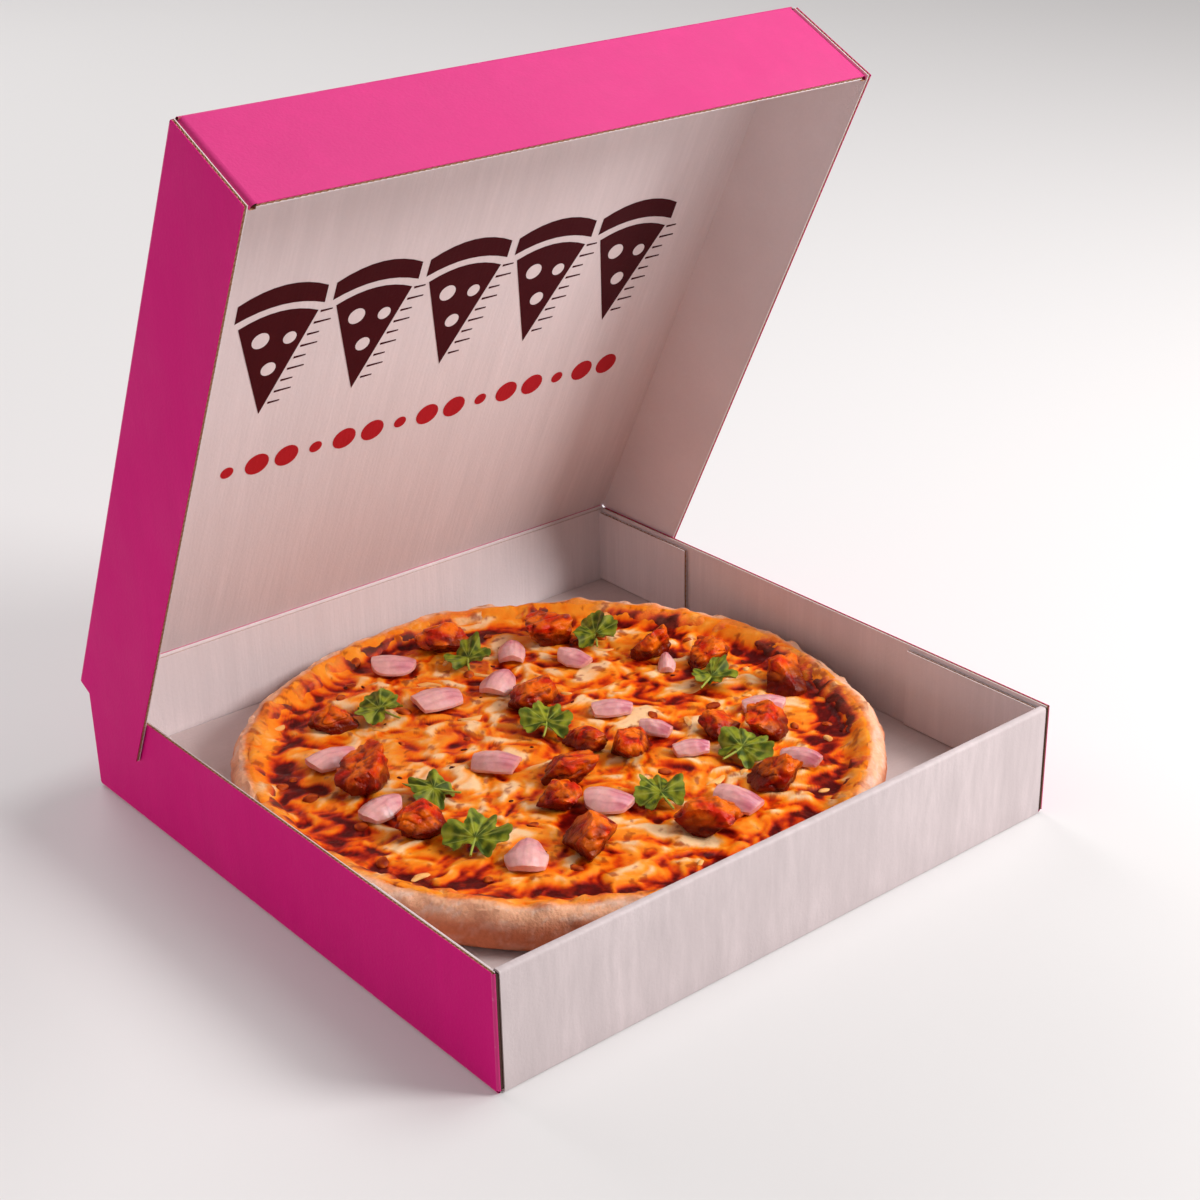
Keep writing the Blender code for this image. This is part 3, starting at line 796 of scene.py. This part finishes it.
def petal_tint(across, along, lines, rosy):
    """Pale pink, rosier towards one end, with darker lines and pale cut edges. The underside is paler."""
    tint = blend(srgb(248, 188, 184), srgb(208, 104, 130), rosy.ravel())
    streak = 0.5 * smooth(0.1, 1.0, lines).ravel()
    tint = blend(tint, srgb(176, 62, 94), streak * (0.3 + 0.7 * rosy.ravel()))
    rim = smooth(0.86, 1.0, np.maximum(np.abs(across), np.abs(along))).ravel()
    tint = blend(tint, srgb(246, 186, 172), 0.5 * rim)
    return with_dryness(np.vstack([tint, blend(tint, srgb(236, 164, 152), 0.6)]), 0.3)


def make_petal(number, turn, finish):
    """A petal of red onion: cupped, thicker at its cut end, with fine lengthwise lines."""
    name = f"onion_{number:02d}"
    low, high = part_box(name)
    rng = np.random.default_rng(700 + number)
    wide, rows = 28, 36
    across, along = np.meshgrid(np.linspace(-1, 1, wide), np.linspace(-1, 1, rows))
    roundness = rng.uniform(0.35, 0.9)
    u = across * (1 - roundness * (1 - np.sqrt(1 - along**2 / 2)))
    v = along * (1 - roundness * (1 - np.sqrt(1 - across**2 / 2)))
    half_length = 0.54 * max(high.x - low.x, high.y - low.y)
    half_width = rng.uniform(0.66, 0.92) * half_length
    taper = 1 - 0.08 * v**2 - rng.uniform(0.05, 0.26) * smooth(-0.3, 1.1, v)
    x = half_length * v + rng.uniform(-0.12, 0.12) * half_length * u**2 * np.sign(v)
    y = half_width * u * taper + 0.14 * half_width * v**2 * rng.uniform(-1, 1)
    arch = rng.uniform(4.0, 5.4) * MM
    lines = np.sin(u * 17 + 1.5 * noise2(2 * u, 1.2 * v + number, 712))
    z = arch * (1 - 0.80 * u**2 - 0.36 * v**2 + 0.20 * rng.uniform(-1, 1) * v)
    z = z + 0.30 * MM * noise2(2.5 * u + number, 2.5 * v, 711) + 0.03 * MM * lines
    thickness = (1.7 + 0.7 * (v < 0) * v**2) * MM * (1 - 0.45 * u**2)
    centre = (low + high) / 2
    ground = TOPPED_LEVEL + pizza_fields(np.array([centre.x]), np.array([centre.y]))[1][0]
    base = max(low.z, ground) + 0.5 * MM
    away, aside = turned(x, y, math.radians(turn))

    def put(height):
        return np.stack([centre.x + away, centre.y + aside, base + height], -1).reshape(-1, 3)

    verts, faces = two_sided(put(z), put(z - thickness), wide, rows)
    rosy = smooth(-0.5, 0.9, v + 0.5 * noise2(1.5 * u, 1.5 * v + number, 713)) * rng.uniform(0.45, 1.0)
    tint = petal_tint(across, along, lines, rosy)
    made = piece(name + "_petal", verts, faces, [finish], "tray", tint=tint)
    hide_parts(name)
    turn_outward(made)


def leaf_outline(turn, rng):
    """How far out the leaf's edge lies, as a share of its half width, and how near it is to a vein."""
    reach = np.full_like(turn, 0.70)
    axis = np.zeros_like(turn)
    for middle, size in LOBES:
        middle, size = middle + rng.uniform(-0.16, 0.16), size * rng.uniform(0.78, 1.12)
        away = (turn - middle + math.pi) % math.tau - math.pi
        reach = np.maximum(reach, size * np.exp(-((away / 0.76) ** 4)))
        for aside in (-0.42, 0, 0.42):
            axis = np.maximum(axis, np.exp(-(((away - aside) / 0.05) ** 2)))
    scallops = 0.16 * np.abs(np.sin(3.7 * turn + rng.uniform(-0.4, 0.4))) ** 0.8 - 0.10
    teeth = 0.10 * np.abs(np.sin(9.5 * turn + rng.uniform(0, 3))) ** 0.7 - 0.05
    notch = np.exp(-(((np.abs(turn) - math.pi) / 0.50) ** 2))
    return reach * (1 + scallops + teeth) * (1 - 0.70 * notch), axis


def tube_faces(around, rings, start=0):
    """Faces of a tube of rings of points with both ends shut. The points are numbered from start."""
    faces = []
    for ring in range(start, start + (rings - 1) * around, around):
        for j in range(around):
            a, b = ring + j, ring + (j + 1) % around
            faces.append((a, b, b + around, a + around))
    last = start + (rings - 1) * around
    return faces + [tuple(range(start, start + around))[::-1], tuple(range(last, last + around))]


def leaf_tint(x, y, veins, share, number):
    """Two greens, with pale veins and edges."""
    tone = smooth(-0.4, 0.5, noise2(x / (3 * MM) + number, y / (3 * MM), 811))
    tint = blend(srgb(60, 80, 4), srgb(146, 154, 30), tone)
    tint = blend(tint, srgb(178, 184, 84), 0.7 * veins)
    return blend(tint, srgb(144, 158, 50), 0.35 * smooth(0.8, 1.0, share))


def make_leaf(number, turn, finish):
    """A coriander leaf: broad lobes with toothed ends, pale veins and a stalk, waving off the cheese."""
    name = f"coriander_{number:02d}"
    low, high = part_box(name)
    rng = np.random.default_rng(800 + number)
    around, rings = 200, 16
    angle = np.linspace(-math.pi, math.pi, around, endpoint=False)
    edge, axis = leaf_outline(angle, rng)
    half = 0.66 * max(high.x - low.x, high.y - low.y)
    share = np.linspace(0.02, 1, rings)[:, None]
    inner = edge.mean() * 0.9
    reach = half * share * (inner + (edge - inner) * share**1.6)
    x, y = reach * np.cos(angle), reach * np.sin(angle) * rng.uniform(0.82, 1.0)
    phase = rng.uniform(0, math.tau)
    z = 1.7 * MM * share**1.5 * np.sin(3 * angle + phase)
    z = z + MM * share**2 * (0.8 * np.sin(8 * angle + 2 * phase) + rng.uniform(-2.2, 1.4))
    veins = axis * (1 - 0.5 * share)
    z = z - 0.12 * MM * veins + 0.07 * MM * np.sin(angle * 26 + 3 * share) * share
    direction = math.radians(turn)
    aside, away = turned(x, y, direction)
    lean = LEAF_LEAN + rng.uniform(-0.9, 0.9)
    z = z + rng.uniform(0.12, 0.36) * (aside * math.cos(lean) + away * math.sin(lean))
    centre = (low + high) / 2
    base = high.z + 0.6 * MM
    upper = np.stack([centre.x + aside, centre.y + away, base + z], -1)
    blade = np.vstack([upper, upper[::-1] - (0, 0, 0.32 * MM)]).reshape(-1, 3)
    tint = leaf_tint(x, y, veins, share, number)
    tint = np.vstack([tint, blend(tint[::-1], srgb(128, 142, 64), 0.5)]).reshape(-1, 3)
    stalk, stalk_faces = leaf_stalk(half, centre, base, direction, len(blade), rng)
    stalk_tint = np.tile(srgb(164, 176, 72), (len(stalk), 1))
    tint = with_dryness(np.vstack([tint, stalk_tint]), 0.6)
    verts, faces = np.vstack([blade, stalk]), tube_faces(around, 2 * rings) + stalk_faces
    made = piece(name + "_leaf", verts, faces, [finish], "tray", tint=tint)
    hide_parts(name)
    turn_outward(made)


def leaf_stalk(half, centre, base, direction, start, rng, sides=8, steps=12):
    """Points and faces of a short bent stalk behind the leaf's middle. Its points are numbered from start."""
    sway = rng.uniform(-0.5, 0.5)
    verts = []
    for share in spaced(0, 1, steps):
        x, y = turned(half * (0.1 - 0.95 * share), half * 0.25 * sway * share**2, direction)
        z = base - 0.5 * MM - 0.4 * MM * share
        radius = (0.55 - 0.15 * share) * MM
        for side in range(sides):
            angle = math.tau * side / sides
            out_x, out_y = turned(0, radius * math.cos(angle), direction)
            verts.append((centre.x + x + out_x, centre.y + y + out_y, z + radius * math.sin(angle)))
    return np.array(verts), tube_faces(sides, steps + 1, start)


def clear_of_toppings(x, y, radius):
    """Whether a place is outside every large topping."""
    for name in frame["nodes"]:
        if not name.startswith(("chunk", "onion")):
            continue
        low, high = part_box(name)
        centre = (low + high) / 2
        if math.hypot(x - centre.x, y - centre.y) < 0.45 * max(high.x - low.x, high.y - low.y) + radius:
            return False
    return True


def make_scraps(sphere, finish):
    """Small scraps over the cheese, in one mesh: crumbs of roast, shreds of cheese and dark flecks."""
    rng = np.random.default_rng(900)
    kinds = (
        (34, (1.2, 2.6), 1.5, (srgb(132, 34, 8), srgb(206, 88, 20)), 0.25),
        (24, (0.9, 1.5), 4.5, (srgb(250, 196, 124), srgb(246, 168, 84)), 0.4),
        (26, (0.5, 0.9), 1.8, (srgb(60, 14, 6), srgb(110, 28, 8)), 0.4),
    )
    directions, sphere_faces = sphere
    verts, faces, tints = [], [], []
    for count, sizes, stretch, colours, dryness in kinds:
        placed = 0
        while placed < count:
            reach, turn = TOPPED_RADIUS * 0.93 * math.sqrt(rng.uniform(0, 1)), rng.uniform(0, math.tau)
            x, y = turned(reach, 0, turn)
            size = rng.uniform(*sizes) * MM
            if not clear_of_toppings(x, y, size):
                continue
            placed += 1
            rough = 1 + 0.25 * noise3(directions * 1.6 + placed * 3.1, 901)
            local = directions * rough[:, None] * size * (rng.uniform(1.1, stretch), 1, 0.55)
            local[:, 1] += 0.10 * local[:, 0] ** 2 / size * rng.uniform(-1, 1)
            spun_x, spun_y = turned(local[:, 0], local[:, 1], rng.uniform(0, math.tau))
            ground = pizza_fields(x + spun_x, y + spun_y)[1]
            z = TOPPED_LEVEL + 0.7 * ground + 0.3 * ground.mean() + local[:, 2]
            start = len(verts) * len(directions)
            faces.extend([[start + k for k in face] for face in sphere_faces])
            verts.append(np.column_stack([x + spun_x, y + spun_y, z]))
            tint = blend(*colours, smooth(-0.5, 0.5, noise3(directions * 1.2 + placed, 902)))
            tints.append(with_dryness(tint, dryness))
    piece("pizza_scraps", np.vstack(verts), faces, [finish], "tray", tint=np.vstack(tints))


# The design inside the lid


def bowed(across, up, half, bulge, steps=8):
    """Places along a shallow arc, from left to right."""
    shares = [2 * k / steps - 1 for k in range(steps + 1)]
    return [(across + half * t, up + bulge * (1 - t * t)) for t in shares]


def add_plate(shape, outline, lift=0.05 * MM):
    """A thin flat shape, given by places across and up the lid from the hinge."""
    start, count = len(shape.verts), len(outline)
    for depth in (lift, lift + 0.05 * MM):
        shape.verts.extend(Vector((across, -up, GAP - depth)) for across, up in outline)
    shape.faces.append(tuple(range(start, start + count)))
    shape.faces.append(tuple(range(start + 2 * count - 1, start + count - 1, -1)))
    for k in range(count):
        after = (k + 1) % count
        shape.faces.append((start + k, start + after, start + count + after, start + count + k))
    shape.finishes.extend([ONLY] * (count + 2))


def add_disc(shape, across, up, radius, lift=0.05 * MM, sides=20):
    turns = [math.tau * k / sides for k in range(sides)]
    add_plate(shape, [(across + radius * math.cos(t), up + radius * math.sin(t)) for t in turns], lift)


def add_slice(dark, holes, across):
    """A pizza slice with its crust, three holes and a hatched shadow."""
    half, tip, top = SLICE_HALF, SLICE_TIP, SLICE_TOP
    add_plate(dark, [(across, tip)] + bowed(across, top, half, 4 * MM)[::-1])
    crust = bowed(across, top + 3 * MM, half + 2 * MM, 4 * MM)
    add_plate(dark, crust + bowed(across, top + 11 * MM, half + 2 * MM, 5 * MM)[::-1])
    for aside, up, radius in SLICE_HOLES:
        add_disc(holes, across + aside * MM, up * MM, radius * MM, lift=0.12 * MM)
    for line in range(HATCHES):
        share = 0.10 + 0.11 * line
        start, up = across + half * share + 1.4 * MM, tip + (top - tip) * share
        end = start + (5.1 + 2.04 * (line % 2)) * MM
        outline = [(start, up + 0.5 * MM), (end, up + 0.3 * MM), (end, up - 0.3 * MM), (start, up - 0.5 * MM)]
        add_plate(dark, outline)


def make_print(lid_bend, place, maroon, red, white):
    """A plain design on the lid's inner face: a row of pizza slices and a row of dots."""
    slices, dots, holes = Shape(), Shape(), Shape()
    for number in range(SLICES):
        add_slice(slices, holes, SLICE_LEFT + SLICE_PITCH * (number + 0.5))
    for number in range(DOTS):
        radius = (5.2 if number % 3 else 2.8) * MM
        add_disc(dots, SLICE_LEFT + 13 * MM * (number + 0.9), 96 * MM, radius)
    for name, shape, ink in (("slices", slices, maroon), ("dots", dots, red), ("holes", holes, white)):
        shape.finish("print_" + name, [ink], "lid", "printed_board", lid_bend, place)


# Surroundings


def make_stage():
    """A wide pale floor just under the box."""
    glow = {"Emission_Color": (1, 1, 1, 1), "Emission_Strength": 0.12}
    floor = Finish("pale_floor", srgb(208, 206, 206), 0.7, Specular_IOR_Level=0.1, **glow)
    floor.feed("Normal", floor.bump(floor.noise(60, 3), 0.0002, 0.15))
    mesh = bpy.data.meshes.new("floor")
    size = 6
    corners = [(-size, -size, 0), (size, -size, 0), (size, size, 0), (-size, size, 0)]
    mesh.from_pydata(corners, [], [(0, 1, 2, 3)])
    mesh.materials.append(floor.material)
    obj = make_object("floor", mesh)
    obj.location.z = -0.2 * MM


def add_light(name, direction, distance, size, power, colour=(1, 1, 1), tall=None):
    """A round area light that faces the object, or a rectangle where its height is given."""
    light = bpy.data.lights.new(name, "AREA")
    light.shape = "DISK" if tall is None else "RECTANGLE"
    light.size = size
    if tall is not None:
        light.size_y = tall
    light.energy = power
    light.color = colour
    obj = make_object(name, light)
    obj.location = LIT_PLACE + Vector(direction).normalized() * distance
    obj.rotation_mode = "QUATERNION"
    obj.rotation_quaternion = Vector(direction).to_track_quat("Z", "Y")
    obj.visible_camera = False


def make_lights():
    """A hard key from the front right, soft light from above and behind, and a strip for the left side."""
    world = bpy.data.worlds.new("studio")
    bpy.context.scene.world = world
    world.use_nodes = True
    background = world.node_tree.nodes["Background"]
    background.inputs["Color"].default_value = (1.0, 0.93, 0.91, 1)
    background.inputs["Strength"].default_value = 0.23
    add_light("key", (0.62, -0.75, 0.62), 1.5, 0.5, 19, (1.0, 0.98, 0.97))
    add_light("top", (0.55, -0.15, 0.9), 1.6, 1.0, 11)
    add_light("back", (0.1, 0.9, 0.7), 2.6, 1.6, 29)
    add_light("left_fill", (-1, 0.35, 0), 1.2, 1.0, 4.0, (1.0, 0.96, 0.98), tall=0.13)


def make_camera():
    azimuth, level = CAMERA_AZIMUTH, math.cos(CAMERA_ELEVATION)
    back = Vector((math.sin(azimuth) * level, -math.cos(azimuth) * level, math.sin(CAMERA_ELEVATION)))
    data = bpy.data.cameras.new("camera")
    data.sensor_width = SENSOR_MM
    data.lens = FOCAL_PIXELS / IMAGE_PIXELS * SENSOR_MM
    camera = make_object("camera", data)
    camera.location = CAMERA_TARGET + back * CAMERA_DISTANCE
    camera.rotation_mode = "QUATERNION"
    roll = Matrix.Rotation(CAMERA_ROLL, 4, "Z").to_quaternion()
    camera.rotation_quaternion = back.to_track_quat("Z", "Y") @ roll
    bpy.context.scene.camera = camera


def make_box():
    """The box and its pad, with their finishes."""
    magenta, white = srgb(206, 12, 116), srgb(232, 220, 221)
    printed = board_finish("printed_magenta", magenta, (180, 180, 30), 0.55, 0.04, gloss=0.08)
    fold = fold_finish("printed_fold", magenta, srgb(236, 150, 190), 0.5)
    white_upright = board_finish("white_upright", white, (700, 700, 40), 0.72, 0.05)
    white_lid = board_finish("white_lid", white, (700, 40, 40), 0.72, 0.05)
    kraft = kraft_finish("kraft_edge", srgb(140, 92, 62), srgb(206, 160, 122))
    # Darker browns for the corner slots: painted shade for their depth
    slot_shade = kraft_finish("painted_slot_shade", srgb(44, 22, 16), srgb(84, 48, 36))
    make_tray([printed, white_upright, kraft, slot_shade, fold])
    # The front wall's white is a darker copy of the board's white: painted shade, holding it down under the
    # key light that falls full on it
    make_front_wall(board_finish("white_front_painted_shade", srgb(214, 200, 201), (330, 330, 55), 0.72, 0.10))
    # The lid's front wall takes a lighter, glossier copy of the magenta ink: a painted highlight where that
    # wall catches the light
    painted_highlight_ink = board_finish("printed_sheen", srgb(212, 26, 122), (180, 180, 30), 0.5, 0.04)
    lid_bend, place = make_lid([printed, white_lid, kraft, painted_highlight_ink, fold])
    make_crease(fold, white_upright)
    pad = frame["nodes"]["floor_pad"]
    pad.data.materials.clear()
    pad.data.materials.append(board_finish("white_pad", srgb(206, 190, 188), (90, 500, 90), 0.75, 0.045))
    maroon = board_finish("maroon_ink", srgb(66, 4, 14), (700, 40, 40), 0.7, 0.06, gloss=0.15)
    red = board_finish("red_ink", srgb(186, 28, 38), (700, 40, 40), 0.7, 0.06, gloss=0.15)
    make_print(lid_bend, place, maroon, red, white_lid)


def make_pizza():
    """The pizza and its toppings, with their finishes."""
    cheese = tinted_finish(
        "cheese_and_sauce", wet=0.33, dry=0.52, bump=0.00007, speckle=0.12,
        Subsurface_Weight=0.12, Subsurface_Scale=0.002, Specular_IOR_Level=0.12,
    )
    dough = tinted_finish(
        "baked_dough", wet=0.35, dry=0.85, bump=0.00016,
        Subsurface_Weight=0.08, Subsurface_Scale=0.002, Specular_IOR_Level=0.15,
    )
    roast = tinted_finish(
        "roast_skin", wet=0.24, dry=0.60, bump=0.00022, speckle=0.25, Specular_IOR_Level=0.18
    )
    onion = tinted_finish(
        "onion_flesh", wet=0.22, dry=0.40, fine=500, bump=0.00004,
        Subsurface_Weight=0.35, Subsurface_Scale=0.003,
    )
    green = tinted_finish(
        "coriander_leaf", wet=0.35, dry=0.60, fine=1500, bump=0.00008,
        Subsurface_Weight=0.10, Subsurface_Scale=0.001, Specular_IOR_Level=0.2,
    )
    make_topped_surface(cheese)
    make_crust(dough)
    chunk_sphere = sphere_points(5)
    for number in range(1, CHUNK_COUNT + 1):
        make_chunk(number, chunk_sphere, roast)
    for number, turn in enumerate(PETAL_TURNS, 1):
        make_petal(number, turn, onion)
    for number, turn in enumerate(LEAF_TURNS, 1):
        make_leaf(number, turn, green)
    make_scraps(sphere_points(2), cheese)


def main():
    bpy.context.scene.view_settings.view_transform = "Standard"
    make_camera()
    make_lights()
    make_stage()
    make_box()
    make_pizza()


main()
